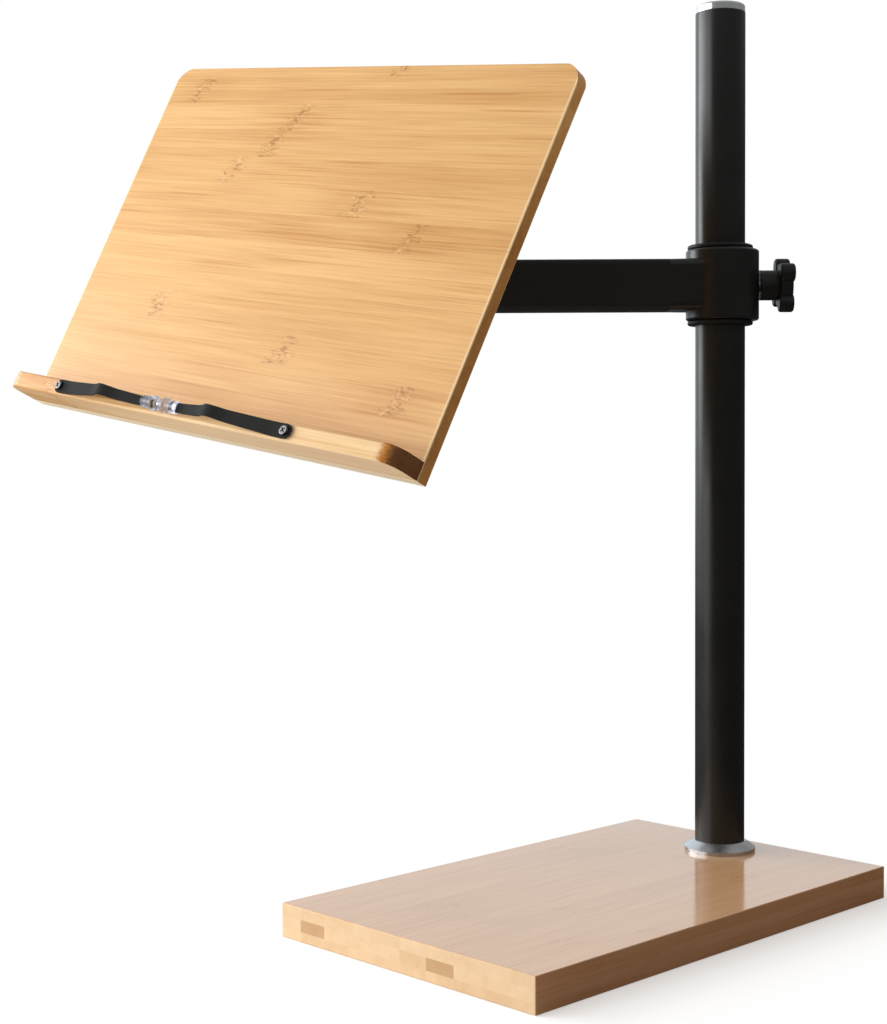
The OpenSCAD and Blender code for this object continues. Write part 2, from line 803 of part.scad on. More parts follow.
// Back of a clip as corners: distance along it and height over the ledge
clip_corners = [
    [-clip_w, clip_back],
    [clip_flat_l, clip_back],
    [clip_crest - crest_foot, clip_back + clip_shoulder],
    [clip_crest, clip_back + clip_lift],
    [clip_crest + crest_foot, clip_back + clip_shoulder],
    [clip_l - clip_bend, tip_rest - clip_t / 2],
    [clip_l + tip_l, tip_rest - clip_t / 2]
];

// Curve that rounds the corner b between a and c
function bend(a, b, c) = let(
    start = b + (a - b) * clip_bend / norm(a - b),
    end = b + (c - b) * clip_bend / norm(c - b)
) [for (i = [0:bend_steps]) let(t = i / bend_steps)
    start * pow(1 - t, 2) + b * 2 * t * (1 - t) + end * pow(t, 2)];

function bent_line(p) = concat(
    [p[0]],
    [for (i = [1:len(p) - 2]) each bend(p[i - 1], p[i], p[i + 1])],
    [p[len(p) - 1]]
);

module clip_section() {
    line = bent_line(clip_corners);
    polygon(concat(
        [for (p = line) [p[1], p[0]]],
        [for (i = [len(line) - 1:-1:0]) [line[i][1] + clip_t, line[i][0]]]
    ));
}

// Front view of a clip: a round end, a tapering strip and the narrow tongue in its cap
module clip_outline() {
    circle(clip_w / 2);
    polygon([[0, -clip_w / 2], [clip_l, -clip_tip_w / 2], [clip_l, clip_tip_w / 2], [0, clip_w / 2]]);
    translate([clip_l - cut, -tongue_w / 2]) square([tip_grip + cut, tongue_w]);
}

module page_clip() {
    difference() {
        intersection() {
            linear_extrude(height = 2 * clip_w, center = true) clip_section();
            along_x() linear_extrude(height = tip_d + clip_lift) clip_outline();
        }
        along_x() cylinder(r = clip_screw_r + running_gap, h = tip_d);
    }
}

// Clear cap on a clip's tongue: a neck with a slot for the tongue, a round bead and a dimpled end
module clip_tip() {
    difference() {
        translate([tip_rest, clip_l + plug_gap, 0]) along_y() difference() {
            union() {
                rounded_disc(tip_neck_d / 2, tip_neck_l + tip_bead_l / 2, tip_edge_r);
                translate([0, 0, tip_neck_l]) rounded_disc(tip_d / 2, tip_bead_l, tip_bead_r);
                translate([0, 0, tip_neck_l]) rounded_disc(tip_nib_d / 2, tip_l - tip_neck_l, tip_edge_r);
            }
            translate([0, 0, tip_l - tip_dimple_depth])
                cylinder(r = tip_dimple_r, h = tip_dimple_depth + cut);
        }
        translate([tip_rest - clip_t / 2 - plug_gap, clip_l - cut, -tongue_w / 2 - plug_gap])
            cube([clip_t + 2 * plug_gap, tip_grip + cut + plug_gap, tongue_w + 2 * plug_gap]);
    }
}

module clip_screw() {
    along_x() difference() {
        union() {
            translate([0, 0, clip_head_z]) rounded_disc(clip_head_r, clip_head_h, clip_head_edge_r);
            translate([0, 0, -clip_screw_depth])
                cylinder(r = clip_screw_r, h = clip_screw_depth + clip_head_z + cut);
        }
        for (a = [45, 135]) rotate([0, 0, a])
            translate([-recess_l / 2, -recess_w / 2, clip_head_z + clip_head_h - recess_depth])
                cube([recess_l, recess_w, recess_depth + cut]);
    }
}

module left_clip() {
    color(black) at_clip(left_clip_y) page_clip();
}

module right_clip() {
    color(black) at_clip(right_clip_y) page_clip();
}

module left_clip_screw() {
    color(steel) at_clip(left_clip_y) clip_screw();
}

module right_clip_screw() {
    color(steel) at_clip(right_clip_y) clip_screw();
}

module clip_washers() {
    color(nylon) for (y = [left_clip_y, right_clip_y]) at_clip(y) along_x()
        ring(clip_washer_r, clip_screw_r + screw_gap, clip_washer_t);
}

module left_clip_tip() {
    color(clear) at_clip(left_clip_y) clip_tip();
}

module right_clip_tip() {
    color(clear) at_clip(right_clip_y) clip_tip();
}

base_board();
foot_flange();
pole_tube();
pole_cap();
pole_plug();
pole_bolt();
pole_washer();
upper_bush();
lower_bush();
collar();
arm_tube();
arm_end_block();
clamp_knob();
clamp_stud();
clamp_pad();
swivel_fork();
swivel_bolt();
swivel_nut();
swivel_washers();
tilt_block();
tilt_bolt();
tilt_washers();
tilt_knob();
turntable_screw();
turntable_washer();
board_plate();
plate_screws();
reading_board();
ledge();
ledge_screws();
left_clip();
right_clip();
left_clip_screw();
right_clip_screw();
clip_washers();
left_clip_tip();
right_clip_tip();
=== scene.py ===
"""Looks of a bamboo book stand: camera, studio light, floor and the finish of every piece."""

import json
import math

import bpy
from mathutils import Matrix, Vector

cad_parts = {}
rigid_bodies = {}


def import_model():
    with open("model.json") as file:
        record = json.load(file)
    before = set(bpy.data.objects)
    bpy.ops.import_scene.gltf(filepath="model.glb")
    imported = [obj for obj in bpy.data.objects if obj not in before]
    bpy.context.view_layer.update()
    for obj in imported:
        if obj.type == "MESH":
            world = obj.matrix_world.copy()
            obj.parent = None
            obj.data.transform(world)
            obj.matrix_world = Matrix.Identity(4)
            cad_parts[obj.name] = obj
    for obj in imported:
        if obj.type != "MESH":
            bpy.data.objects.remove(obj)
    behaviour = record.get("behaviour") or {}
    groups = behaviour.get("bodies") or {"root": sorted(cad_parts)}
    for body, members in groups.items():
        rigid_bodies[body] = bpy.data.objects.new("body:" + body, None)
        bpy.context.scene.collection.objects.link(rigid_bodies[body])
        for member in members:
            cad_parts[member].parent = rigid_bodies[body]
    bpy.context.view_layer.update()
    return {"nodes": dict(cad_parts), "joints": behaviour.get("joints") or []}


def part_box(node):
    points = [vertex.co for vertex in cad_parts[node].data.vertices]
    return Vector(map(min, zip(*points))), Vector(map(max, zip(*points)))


for leftover in list(bpy.data.objects):
    bpy.data.objects.remove(leftover)
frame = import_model()

# Camera, at the photograph's viewing angle
CAMERA_PLACE = (0.6722, -0.7796, 0.2782)
CAMERA_YAW = math.radians(-45.81)
CAMERA_PITCH = math.radians(1.87)
CAMERA_ROLL = math.radians(-0.24)
CAMERA_LENS = 60.2

# Lamps: a wide window on the left and a soft box in front
WINDOW_PLACE = (-1.90, -0.97, 0.80)
WINDOW_AIM = (-0.10, -0.05, 0.30)
WINDOW_SIZE = (1.5, 0.9)
WINDOW_POWER = 26.5
FRONT_PLACE = (-0.60, -1.15, 0.55)
FRONT_AIM = (-0.10, -0.10, 0.20)
FRONT_SIZE = (0.9, 1.0)
FRONT_POWER = 8.6

# Surroundings: what lights dull surfaces, level and from above, and what polished ones mirror, which is a cool
# white wall on the left and far side, a grey ceiling and shade elsewhere
FILL_COLOUR = (1.0, 0.97, 0.93, 1.0)
FILL_LEVEL = 0.12
FILL_ABOVE = 0.55
FILL_HEIGHTS = (0.2, 0.8)
WALL_SIDE = (-0.956, 0.292, 0.05)
WALL_SPREAD = (0.55, 0.75)
WALL_COLOUR = (1.0, 1.12, 1.2, 1.0)
CEILING_EDGE = (0.225, 0.26)
CEILING_COLOUR = (0.42, 0.42, 0.42, 1.0)
SHADE_COLOUR = (0.05, 0.05, 0.05, 1.0)

# Floor, which lies a hair below the base and fades to white round it
FLOOR_HALF = 6.0
FLOOR_DROP = 0.0002
FLOOR_COLOUR = (0.86, 0.86, 0.85, 1.0)
FLOOR_SEEN = (1.45, 1.44, 1.43, 1.0)
FLOOR_WHITENING = 0.4
FLOOR_FADE = (0.0, 0.09)
WHITE = (1.0, 1.0, 1.0, 1.0)

# Strips of bamboo, in millimetres: how wide one is, where one begins and how deep a ply is
BOARD_STRIP = 19.7
BOARD_FIRST_EDGE = 2.15
BOARD_PLY = 4.3
BASE_STRIP = 20.8
BASE_FIRST_EDGE = -82.9
BASE_PLY = 7.0
LEDGE_STRIP = 12.6
LEDGE_FIRST_EDGE = 0.0
LEDGE_PLY = 5.6

# Two strips of the base's middle ply that are stained darker, and how near two numbers count as the same
BASE_DARK_STRIPS = (0.0, 5.0)
BASE_DARK_PLY = 1.0
BASE_DARK_SHARE = 0.5
SAME_NUMBER = 0.1

# Where the knuckle of each of the board's strips lies, to the right of its middle, from the lowest strip up
BOARD_KNUCKLES = (-230, 215, 144, 37, -95, 240, -235, 105, 49, -80, -53, -39, -148, 39)
BOARD_LOWEST_STRIP = -7
KNUCKLE_SPAN = 500.0

# How far apart the base's knuckles lie, how faint they are, and how far left of its clip the ledge's one lies
KNUCKLE_SPACING = 260.0
BASE_KNUCKLE_STRENGTH = 0.18
LEDGE_KNUCKLE = 14.0

# How dark each of the board's strips is, from the lowest up
BOARD_TONES = (0.3, 0.5, 0.3, 0.5, 0.4, 0.3, 0.2, 0.9, 0.4, 0.6, 0.5, 0.2, 0.5, 0.3)

# Marks in the bamboo: how many come to a millimetre, along the grain, across it and into the ply
FIBRES = (0.016, 0.8, 0.8)
THREADS = (0.011, 1.9, 1.9)
BANDS = (0.006, 0.11, 0.11)
VEIN_BUNCHES = (0.010, 0.09, 0.09)
VEINS = (0.007, 0.62, 0.62)
KNUCKLE_WOBBLES = (0.07, 0.30, 0.30)
KNUCKLE_DASHES = (0.19, 0.50, 0.50)
KNUCKLE_DOTS = (0.23, 0.44, 0.44)

# Where in its noise a mark begins and where it is full
BUNCH_EDGE = (0.40, 0.66)
VEIN_EDGE = (0.53, 0.64)
DASH_EDGE = (0.52, 0.62)
DOT_EDGE = (0.36, 0.47)

# How far each strip's grain is shifted by its chance and by its tone, so that no two strips are alike
STRIP_SHIFT = (900.0, 70.0)

# A knuckle, in millimetres: where its patch of marks and the smear round it end, how far its line wanders and how
# far it leans over the strip's width, at least and by chance; then how curled its marks are and which strips smear
KNUCKLE_PATCH = (2.0, 11.0)
KNUCKLE_SMEAR = (5.0, 55.0)
KNUCKLE_WANDER = 22.0
KNUCKLE_LEAN = -3.0
KNUCKLE_CHANCE_LEAN = -12.0
KNUCKLE_CURL = 0.8
SMEARED_STRIPS = (0.2, 0.8)

# How dark bare bamboo is, and how much darker each mark makes it; dots make it paler, and on the ends of the
# strips most of the lengthways grain is lost
PLAIN_TONE = 0.34
FIBRE_TONE = 1.15
THREAD_TONE = 0.4
VEIN_TONE = 0.42
BAND_TONE = 1.1
STRIP_TONE = 0.42
SMEAR_TONE = 0.6
PATCH_TONE = 0.14
DOT_PALENESS = 0.6
END_GRAIN_LOSS = -0.75

# Gloss and relief of the lacquered bamboo
FIBRE_RANGE = (0.25, 0.75)
BAMBOO_ROUGHNESS = (0.30, 0.44)
KNUCKLE_DEPTH = 0.4
LACQUER_ROUGHNESS = 0.12

# How squarely a face has to look one way to count: from not at all to wholly
SQUARE_ON = (0.5, 0.9)
LEDGE_END_FACES = (0.40, 0.80)
LEDGE_SCORCHED_FACES = (0.12, 0.40)
UNDERSIDE_FACES = (-0.95, -0.6)
EDGE_FROM_SIDE = (0.15, 0.4)
EDGE_TO_FRONT = (0.85, 0.98)
BASE_TOP_FACES = (0.3, 0.9)

# How fine and how uneven the border of the end grain is
END_FINENESS = 0.5
END_UNEVENNESS = 0.35
SCORCH_FINENESS = 1.1
SCORCH_UNEVENNESS = 0.5

# The board's ends change colour over these heights, paler towards the top as painted light; a pale highlight is
# painted along its rim over these last millimetres, this much
BOARD_ENDS_CHANGE = (0.0, 120.0)
BOARD_RIM = (1.9, 0.9)
PAINTED_HIGHLIGHT_SHARE = 0.85

# The ledge pales over this stretch from its left end, on its front and, where light from below is painted on,
# underneath
LEDGE_PALING = (-180.0, 30.0)
LEDGE_DARKENING = (0.36, -0.04)
LEDGE_UNDERLIGHT_SHARE = (0.12, 0.6)

# The base is lacquered thinly on its sides and fully on its top
BASE_LACQUER = (0.1, 1.0)

BAMBOO_LIGHT = (0.85, 0.52, 0.22, 1.0)
BAMBOO_DARK = (0.60, 0.29, 0.09, 1.0)
BAMBOO_KNUCKLE = (0.40, 0.17, 0.05, 1.0)
BAMBOO_PALE = (0.95, 0.70, 0.40, 1.0)
# Painted highlight along the board's edges and rim
BAMBOO_PAINTED_HIGHLIGHT = (1.0, 0.76, 0.44, 1.0)
# Painted light from below, on the ledge's underside and on the board's bottom edge
LEDGE_PAINTED_UNDERLIGHT = (1.0, 0.76, 0.50, 1.0)
BOARD_PAINTED_UNDERLIGHT = (1.0, 0.83, 0.58, 1.0)
LEDGE_LIGHT = (0.90, 0.63, 0.34, 1.0)
BASE_LIGHT = (0.83, 0.50, 0.28, 1.0)
BASE_DARK = (0.70, 0.395, 0.20, 1.0)

# Colours that the bamboo's colour is multiplied by: on the ends of the strips, a stain, on the board partly
# painted shade and paler at its top as painted light, and on the base paler as painted light;
# round the ledge's scorched ends; and on the base's sides, as painted shade
BOARD_ENDS = (0.66, 0.50, 0.32, 1.0)
BOARD_TOP_ENDS_PAINTED_LIGHT = (0.98, 0.84, 0.68, 1.0)
LEDGE_ENDS = (0.28, 0.30, 0.50, 1.0)
LEDGE_SCORCH = (0.78, 0.46, 0.18, 1.0)
BASE_ENDS_PAINTED_LIGHT = (1.12, 1.36, 1.55, 1.0)
BASE_SIDES_PAINTED_SHADE = (0.58, 0.50, 0.47, 1.0)

# Marks on coated and moulded surfaces and on turned ones: how many come to a millimetre and how much each counts,
# and the middle of a noise, where most of it lies
COAT_CLOUDS = (0.03, 0.03, 0.03)
CLOUD_SHARE = 0.6
COAT_SPECKS = (0.45, 0.45, 0.45)
SPECK_EDGE = (0.55, 0.75)
SPECK_SHARE = 0.5
LATHE_RINGS = (4.0, 4.0, 4.0)
RING_SHARE = 0.35
SMUDGES = (0.12, 0.12, 0.12)
SMUDGE_SHARE = 0.65
MID_NOISE = (0.3, 0.7)

MILLIMETRE = 0.001


# Node helpers

def feed(tree, socket, value):
    """Links a socket's value, or sets a plain one."""
    if isinstance(value, bpy.types.NodeSocket):
        tree.links.new(value, socket)
    else:
        socket.default_value = value


def node(tree, kind, inputs=None, **settings):
    """One shader node with its settings, and its inputs fed by name."""
    made = tree.nodes.new("ShaderNode" + kind)
    for name, value in settings.items():
        setattr(made, name, value)
    for name, value in (inputs or {}).items():
        feed(tree, made.inputs[name], value)
    return made


def calc(tree, operation, *values, clamp=False):
    """One sum with numbers."""
    made = node(tree, "Math", operation=operation, use_clamp=clamp)
    for socket, value in zip(made.inputs, values):
        feed(tree, socket, value)
    return made.outputs[0]


def vector_calc(tree, operation, *values):
    """One sum with vectors."""
    made = node(tree, "VectorMath", operation=operation)
    for socket, value in zip(made.inputs, values):
        feed(tree, socket, value)
    return made.outputs["Value" if operation in ("LENGTH", "DOT_PRODUCT") else "Vector"]


def ramp(tree, value, low, high, to_low=0.0, to_high=1.0):
    """Turns a value between low and high smoothly into one between to_low and to_high, held at both ends."""
    made = node(tree, "MapRange", interpolation_type="SMOOTHSTEP", clamp=True)
    for name, given in (("Value", value), ("From Min", low), ("From Max", high),
                        ("To Min", to_low), ("To Max", to_high)):
        feed(tree, made.inputs[name], given)
    return made.outputs["Result"]


def blend(tree, share, first, second, mode="MIX"):
    """A share of the second colour over the first."""
    made = node(tree, "Mix", data_type="RGBA", blend_type=mode)
    for index, value in ((0, share), (6, first), (7, second)):
        feed(tree, made.inputs[index], value)
    return made.outputs[2]


def noise(tree, vector, scale=(1, 1, 1), detail=2.0, roughness=0.5, distortion=0.0):
    """Noise over a vector, stretched by a scale per axis, from 0 to 1."""
    stretched = vector_calc(tree, "MULTIPLY", vector, scale)
    made = node(tree, "TexNoise", {"Vector": stretched, "Scale": 1.0, "Detail": detail,
                                   "Roughness": roughness, "Distortion": distortion})
    return made.outputs["Fac"]


def group(name, inputs, outputs):
    """An empty node group with named sockets, and its two ends."""
    tree = bpy.data.node_groups.new(name, "ShaderNodeTree")
    for label, kind, value in inputs:
        socket = tree.interface.new_socket(label, in_out="INPUT", socket_type="NodeSocket" + kind)
        if value is not None:
            socket.default_value = value
    for label, kind in outputs:
        tree.interface.new_socket(label, in_out="OUTPUT", socket_type="NodeSocket" + kind)
    return tree, tree.nodes.new("NodeGroupInput").outputs, tree.nodes.new("NodeGroupOutput").inputs


def material(name):
    """A new material, its tree and its shader."""
    made = bpy.data.materials.new(name)
    made.use_nodes = True
    return made, made.node_tree, made.node_tree.nodes["Principled BSDF"]


def split_up(tree, vector):
    """The X, Y and Z of a vector."""
    return node(tree, "SeparateXYZ", {"Vector": vector}).outputs


def face_normal(tree):
    """The way a face of a piece looks, which turns with the piece."""
    return node(tree, "TexCoord").outputs["Normal"]


def piece_vector(tree, origin=(0, 0, 0), axes=None):
    """Place on a piece in millimetres, counted from an origin along three axes, that moves with the piece."""
    turn = Matrix(axes).transposed().to_euler() if axes else (0, 0, 0)
    place = node(tree, "TexCoord").outputs["Object"]
    mapped = node(tree, "Mapping", {"Vector": place, "Location": origin, "Rotation": turn,
                                    "Scale": (MILLIMETRE,) * 3}, vector_type="TEXTURE")
    return mapped.outputs["Vector"]


# Node groups that several finishes share

def make_strips():
    """Cuts a board into strips and plies: where a point lies in its strip, and chances that differ by strip."""
    tree, given, result = group(
        "bamboo_strips",
        [("Vector", "Vector", None), ("Strip Width", "Float", 20.0), ("First Edge", "Float", 0.0),
         ("Ply Depth", "Float", 6.0)],
        [("Across", "Float"), ("Strip", "Float"), ("Ply", "Float"), ("Tone", "Float"), ("Chance", "Float"),
         ("Place", "Float")])
    split = split_up(tree, given["Vector"])
    across = calc(tree, "DIVIDE", calc(tree, "SUBTRACT", split["Y"], given["First Edge"]), given["Strip Width"])
    strip = calc(tree, "FLOOR", across)
    ply = calc(tree, "FLOOR", calc(tree, "DIVIDE", split["Z"], given["Ply Depth"]))
    cell = node(tree, "CombineXYZ", {"X": strip, "Y": ply, "Z": 0.5}).outputs[0]
    drawn = node(tree, "TexWhiteNoise", {"Vector": cell}).outputs["Color"]
    chances = node(tree, "SeparateColor", {"Color": drawn})
    feed(tree, result["Across"], calc(tree, "SUBTRACT", calc(tree, "SUBTRACT", across, strip), 0.5))
    feed(tree, result["Strip"], strip)
    feed(tree, result["Ply"], ply)
    for label, channel in (("Tone", "Red"), ("Chance", "Green"), ("Place", "Blue")):
        feed(tree, result[label], chances.outputs[channel])
    return tree


def make_wood():
    """Bamboo itself: fibres along the strips, slow changes of tone, bunches of dark veins, and the knuckle of each
    strip, which is a loose cluster of dark dashes and pale dots in a brown smear."""
    tree, given, result = group(
        "bamboo_wood",
        [("Vector", "Vector", None), ("Across", "Float", 0.0), ("Tone", "Float", 0.5), ("Chance", "Float", 0.5),
         ("Darkening", "Float", 0.0), ("Knuckle", "Float", 1000.0), ("Knuckle Strength", "Float", 0.65),
         ("End Grain", "Float", 0.0), ("End Colour", "Color", BOARD_ENDS), ("Light", "Color", BAMBOO_LIGHT),
         ("Dark", "Color", BAMBOO_DARK), ("Knuckle Colour", "Color", BAMBOO_KNUCKLE)],
        [("Color", "Color"), ("Roughness", "Float"), ("Height", "Float")])
    by_chance, by_tone = STRIP_SHIFT
    shift = node(tree, "CombineXYZ", {"X": calc(tree, "MULTIPLY", given["Chance"], by_chance),
                                      "Y": calc(tree, "MULTIPLY", given["Tone"], by_tone)}).outputs[0]
    place = vector_calc(tree, "ADD", given["Vector"], shift)
    fibre = noise(tree, place, FIBRES, detail=3.0, roughness=0.6)
    thread = noise(tree, place, THREADS, detail=1.0)
    band = noise(tree, place, BANDS, detail=2.0)
    bunch = ramp(tree, noise(tree, place, VEIN_BUNCHES, detail=1.0), *BUNCH_EDGE)
    line = ramp(tree, noise(tree, place, VEINS, detail=2.0), *VEIN_EDGE)
    vein = calc(tree, "MULTIPLY", bunch, line)

    wobble = calc(tree, "SUBTRACT", noise(tree, place, KNUCKLE_WOBBLES, detail=2.0), 0.5)
    lean = calc(tree, "MULTIPLY_ADD", given["Chance"], KNUCKLE_CHANCE_LEAN, KNUCKLE_LEAN)
    near = calc(tree, "ADD", calc(tree, "MULTIPLY", given["Across"], lean),
                calc(tree, "MULTIPLY_ADD", wobble, KNUCKLE_WANDER, given["Knuckle"]))
    away = calc(tree, "ABSOLUTE", near)
    patch = ramp(tree, away, *KNUCKLE_PATCH, 1.0, 0.0)
    dash = ramp(tree, noise(tree, place, KNUCKLE_DASHES, detail=2.0, distortion=KNUCKLE_CURL), *DASH_EDGE)
    dot = ramp(tree, noise(tree, place, KNUCKLE_DOTS, detail=2.0, distortion=KNUCKLE_CURL), *DOT_EDGE, 1.0, 0.0)
    marks = calc(tree, "MULTIPLY", patch, dash)
    glow = calc(tree, "MULTIPLY", ramp(tree, away, *KNUCKLE_SMEAR, 1.0, 0.0),
                ramp(tree, given["Chance"], *SMEARED_STRIPS))
    smear = calc(tree, "MULTIPLY", glow, fibre)

    lengthways = calc(tree, "MULTIPLY_ADD", given["End Grain"], END_GRAIN_LOSS, 1.0)
    grain = calc(tree, "MULTIPLY_ADD", calc(tree, "SUBTRACT", thread, 0.5), THREAD_TONE,
                 calc(tree, "MULTIPLY", calc(tree, "SUBTRACT", fibre, 0.5), FIBRE_TONE))
    grain = calc(tree, "MULTIPLY_ADD", vein, VEIN_TONE, grain)
    tone = calc(tree, "MULTIPLY_ADD", grain, lengthways, PLAIN_TONE)
    tone = calc(tree, "MULTIPLY_ADD", calc(tree, "SUBTRACT", band, 0.5), BAND_TONE, tone)
    tone = calc(tree, "MULTIPLY_ADD", calc(tree, "SUBTRACT", given["Tone"], 0.5), STRIP_TONE, tone)
    tone = calc(tree, "MULTIPLY_ADD", smear, SMEAR_TONE, calc(tree, "ADD", tone, given["Darkening"]))
    tone = calc(tree, "MULTIPLY_ADD", patch, PATCH_TONE, tone, clamp=True)
    wood = blend(tree, tone, given["Light"], given["Dark"])
    pale = calc(tree, "MULTIPLY", calc(tree, "MULTIPLY", patch, dot), DOT_PALENESS)
    flecked = blend(tree, calc(tree, "MULTIPLY", pale, given["Knuckle Strength"]), wood, BAMBOO_PALE)
    dashed = calc(tree, "MULTIPLY", marks, given["Knuckle Strength"])
    marked = blend(tree, dashed, flecked, given["Knuckle Colour"])
    feed(tree, result["Color"], blend(tree, given["End Grain"], marked, given["End Colour"], "MULTIPLY"))
    feed(tree, result["Roughness"], ramp(tree, fibre, *FIBRE_RANGE, *BAMBOO_ROUGHNESS))
    pores = calc(tree, "MULTIPLY_ADD", thread, 0.5, calc(tree, "MULTIPLY", fibre, 0.5))
    feed(tree, result["Height"], calc(tree, "SUBTRACT", pores, calc(tree, "MULTIPLY", marks, KNUCKLE_DEPTH)))
    return tree


def make_speckle():
    """Fine unevenness of a coated or moulded surface: slow changes of tone, specks and an orange-peel skin."""
    tree, given, result = group(
        "surface_speckle",
        [("Vector", "Vector", None), ("Grain", "Float", 0.6), ("Dark", "Color", (0.01, 0.01, 0.01, 1.0)),
         ("Light", "Color", (0.02, 0.02, 0.02, 1.0)), ("Smooth", "Float", 0.3), ("Rough", "Float", 0.4)],
        [("Color", "Color"), ("Roughness", "Float"), ("Height", "Float")])
    fine = vector_calc(tree, "DIVIDE", given["Vector"], given["Grain"])
    peel = noise(tree, fine, detail=2.0)
    cloud = noise(tree, given["Vector"], COAT_CLOUDS, detail=3.0)
    speck = ramp(tree, noise(tree, fine, COAT_SPECKS, detail=3.0, roughness=0.7), *SPECK_EDGE)
    mixed = calc(tree, "MULTIPLY_ADD", speck, SPECK_SHARE, calc(tree, "MULTIPLY", cloud, CLOUD_SHARE), clamp=True)
    feed(tree, result["Color"], blend(tree, mixed, given["Dark"], given["Light"]))
    feed(tree, result["Roughness"], ramp(tree, cloud, *MID_NOISE, given["Smooth"], given["Rough"]))
    feed(tree, result["Height"], peel)
    return tree


def make_turning():
    """Fine rings that a lathe leaves round an axis, with smudges over them."""
    tree, given, result = group(
        "lathe_rings",
        [("Vector", "Vector", None), ("Dark", "Color", (0.5, 0.5, 0.5, 1.0)),
         ("Light", "Color", (0.7, 0.7, 0.7, 1.0)), ("Smooth", "Float", 0.08), ("Rough", "Float", 0.25)],
        [("Color", "Color"), ("Roughness", "Float"), ("Height", "Float")])
    split = split_up(tree, given["Vector"])
    flat = node(tree, "CombineXYZ", {"X": split["X"], "Y": split["Y"]}).outputs[0]
    section = node(tree, "CombineXYZ", {"X": vector_calc(tree, "LENGTH", flat), "Y": split["Z"]}).outputs[0]
    rings = noise(tree, section, LATHE_RINGS, detail=2.0)
    smudge = noise(tree, given["Vector"], SMUDGES, detail=3.0, roughness=0.6)
    feed(tree, result["Color"], blend(tree, ramp(tree, smudge, *MID_NOISE), given["Dark"], given["Light"]))
    worn = calc(tree, "MULTIPLY_ADD", rings, RING_SHARE, calc(tree, "MULTIPLY", smudge, SMUDGE_SHARE))
    feed(tree, result["Roughness"], ramp(tree, worn, *MID_NOISE, given["Smooth"], given["Rough"]))
    feed(tree, result["Height"], rings)
    return tree


STRIPS = make_strips()
WOOD = make_wood()
SPECKLE = make_speckle()
TURNING = make_turning()


def skin(tree, shader, made, strength, distance):
    """Feeds a group's colour, roughness and height to a shader."""
    for name in ("Base Color", "Roughness"):
        feed(tree, shader.inputs[name], made.outputs[name.replace("Base ", "")])
    bump = node(tree, "Bump", {"Strength": strength, "Distance": distance, "Height": made.outputs["Height"]})
    feed(tree, shader.inputs["Normal"], bump.outputs["Normal"])


# Bamboo finishes

def joint_place(name):
    """Where a joint is at rest."""
    return next(Vector(joint["pos_m"]) for joint in frame["joints"] if joint["name"] == name)


def board_axes():
    """The board's own directions: to the reader's right, up the board and out of its front."""
    right = (joint_place("right_clip_swing") - joint_place("left_clip_swing")).normalized()
    turn = next(joint for joint in frame["joints"] if joint["name"] == "board_turn")
    out = Vector(turn["axis"]).normalized()
    return joint_place("board_turn"), (right, out.cross(right), out)


def knuckle_by_chance(tree, vector, strips):
    """Distance along the grain to the nearest of the knuckles, which each strip has at its own places."""
    along = split_up(tree, vector)["X"]
    turns = calc(tree, "ADD", calc(tree, "DIVIDE", along, KNUCKLE_SPACING), strips.outputs["Place"])
    part = calc(tree, "SUBTRACT", calc(tree, "FRACT", turns), 0.5)
    return calc(tree, "MULTIPLY", part, KNUCKLE_SPACING)


def by_strip(tree, strips, values):
    """One of a list of values from 0 to 1 for each of the board's strips."""
    count = len(values)
    share = calc(tree, "DIVIDE", calc(tree, "SUBTRACT", strips.outputs["Strip"], BOARD_LOWEST_STRIP - 0.5), count)
    steps = node(tree, "ValToRGB", {"Fac": share})
    steps.color_ramp.interpolation = "CONSTANT"
    stops = steps.color_ramp.elements
    while len(stops) < count:
        stops.new(0.5)
    for index, value in enumerate(values):
        stops[index].position = index / count
        stops[index].color = (value, value, value, 1.0)
    return steps.outputs["Color"]


def knuckle_by_strip(tree, vector, strips):
    """Distance along the grain to the one knuckle of a board's strip."""
    along = split_up(tree, vector)["X"]
    level = by_strip(tree, strips, [place / KNUCKLE_SPAN + 0.5 for place in BOARD_KNUCKLES])
    return calc(tree, "SUBTRACT", along, calc(tree, "MULTIPLY", calc(tree, "SUBTRACT", level, 0.5), KNUCKLE_SPAN))


def knuckle_by_clip(tree, vector, strips):
    """Distance along the grain to the ledge's one knuckle, beside the left page clip."""
    origin, (right, _, _) = board_axes()
    place = (joint_place("left_clip_swing") - origin).dot(right) / MILLIMETRE
    return calc(tree, "SUBTRACT", split_up(tree, vector)["X"], place - LEDGE_KNUCKLE)


def end_grain(tree, vector, grain, faces, fine=END_FINENESS, unevenness=END_UNEVENNESS):
    """How far a face lies across the grain, with an uneven border where it turns round a corner."""
    across = calc(tree, "ABSOLUTE", vector_calc(tree, "DOT_PRODUCT", face_normal(tree), grain))
    uneven = calc(tree, "SUBTRACT", noise(tree, vector, (fine, fine, fine), detail=2.0), 0.5)
    return ramp(tree, calc(tree, "MULTIPLY_ADD", uneven, unevenness, across), *faces)


def painted_edge_highlight(tree, out):
    """Where the rounded edge round a face is, on which a pale highlight is painted."""
    facing = calc(tree, "ABSOLUTE", vector_calc(tree, "DOT_PRODUCT", face_normal(tree), out))
    return calc(tree, "MULTIPLY", ramp(tree, facing, *EDGE_FROM_SIDE),
                ramp(tree, facing, *EDGE_TO_FRONT, 1.0, 0.0))


def painted_rim_highlight(tree, vector, half_width):
    """How near a point lies to the board's two ends, where a pale highlight is painted on the front too."""
    along = calc(tree, "ABSOLUTE", split_up(tree, vector)["X"])
    return ramp(tree, calc(tree, "SUBTRACT", half_width, along), *BOARD_RIM)


def painted_underlight(tree, up, share):
    """Faces that look down, made paler as painted light from below."""
    return ramp(tree, vector_calc(tree, "DOT_PRODUCT", face_normal(tree), up), *UNDERSIDE_FACES, share, 0.0)


